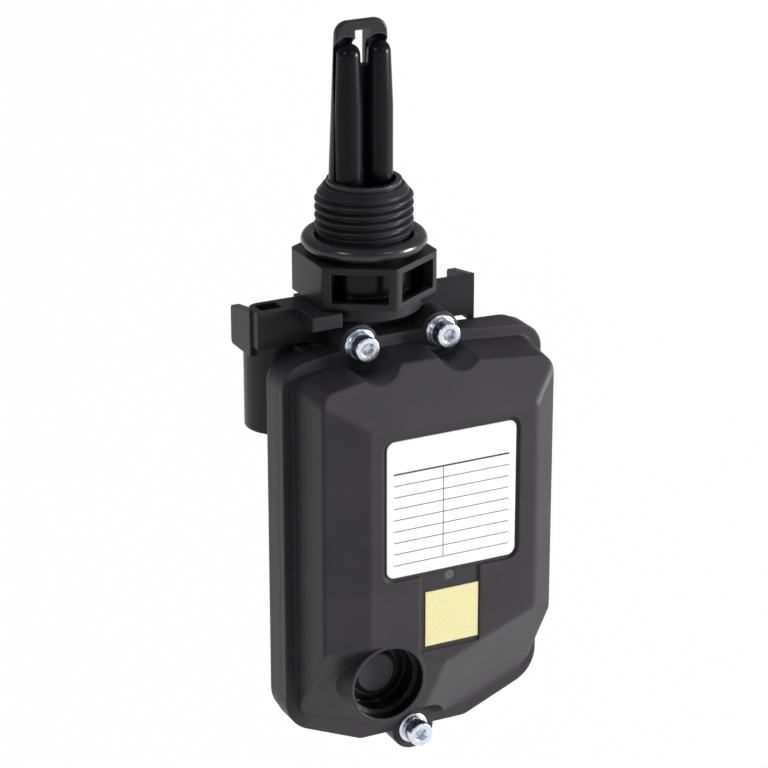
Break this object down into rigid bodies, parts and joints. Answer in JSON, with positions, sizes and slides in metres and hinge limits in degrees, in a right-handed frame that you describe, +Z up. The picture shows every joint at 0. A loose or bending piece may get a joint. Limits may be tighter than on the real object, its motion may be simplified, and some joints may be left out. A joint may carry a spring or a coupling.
{
  "type": "automatic condensate drain valve",
  "caption": "Electronic condensate drain: black housing with test button, windowed hexagon and threaded inlet with a two-finger level probe, solenoid valve and threaded outlet.",
  "frame": {"origin": "on the axis of the inlet thread at the foot of the thread, 4.2 mm above the hexagon's upper face, where the inlet ring seals", "axes": "+Z up along the inlet thread, -Y to the front with label and button, +X to the right seen from the front"},
  "size_m": [0.0638, 0.0498, 0.1638],
  "materials": {
    "housing_plastic": "fine grained, satin",
    "fitting_plastic": "glass filled, satin",
    "probe_plastic": "moulded, glossy",
    "button_plastic": "satin",
    "seal_rubber": "matt",
    "zinc_steel": "zinc plated",
    "stainless_steel": "turned",
    "brass": "turned",
    "copper_wire": "enamelled",
    "white_label": "printed film",
    "yellow_label": "printed film",
    "clear_plastic": "smoked",
    "board": "lacquered",
    "component_plastic": "moulded",
    "terminal_plastic": "moulded"
  },
  "bodies": {
    "housing": {"inlet_fitting": "fitting_plastic", "inlet_ring": "seal_rubber", "probe_guard": "probe_plastic", "probe_sheath_left": "probe_plastic", "probe_sheath_right": "probe_plastic", "probe_electrode_left": "stainless_steel", "probe_electrode_right": "stainless_steel", "probe_seal": "seal_rubber", "valve_body": "fitting_plastic", "valve_seat": "brass", "guide_tube": "stainless_steel", "fixed_core": "stainless_steel", "plunger_spring": "stainless_steel", "coil_bobbin": "component_plastic", "coil_winding": "copper_wire", "coil_yoke": "zinc_steel", "coil_nut": "zinc_steel", "rear_shell": "housing_plastic", "front_cover": "housing_plastic", "cover_screws": "zinc_steel", "flat_washers": "zinc_steel", "spring_washers": "zinc_steel", "threaded_inserts": "brass", "body_screws": "zinc_steel", "rating_label": "white_label", "square_label": "yellow_label", "light_guide": "clear_plastic", "status_led": "clear_plastic", "tact_switch": "component_plastic", "circuit_board": "board", "board_screws": "zinc_steel", "transformer": "component_plastic", "smoothing_capacitor": "component_plastic", "terminal_block": "terminal_plastic", "cable_gland": "fitting_plastic", "gland_nut": "fitting_plastic", "gland_seal": "seal_rubber", "gland_locknut": "fitting_plastic"},
    "plunger": {"plunger": "stainless_steel", "plunger_seal": "seal_rubber"},
    "button": {"test_button": "button_plastic"}
  },
  "joints": [
    {"name": "test_button_press", "type": "slide", "parent": "housing", "child": "button", "axis": [0, 1, 0], "range_m": [0, 0.0009], "stiffness_N_per_m": 1500, "springref_m": -0.0002},
    {"name": "plunger_lift", "type": "slide", "parent": "housing", "child": "plunger", "axis": [0, 0, -1], "range_m": [0, 0.0016], "stiffness_N_per_m": 400, "springref_m": -0.004, "deforming": ["plunger_spring"]}
  ]
}
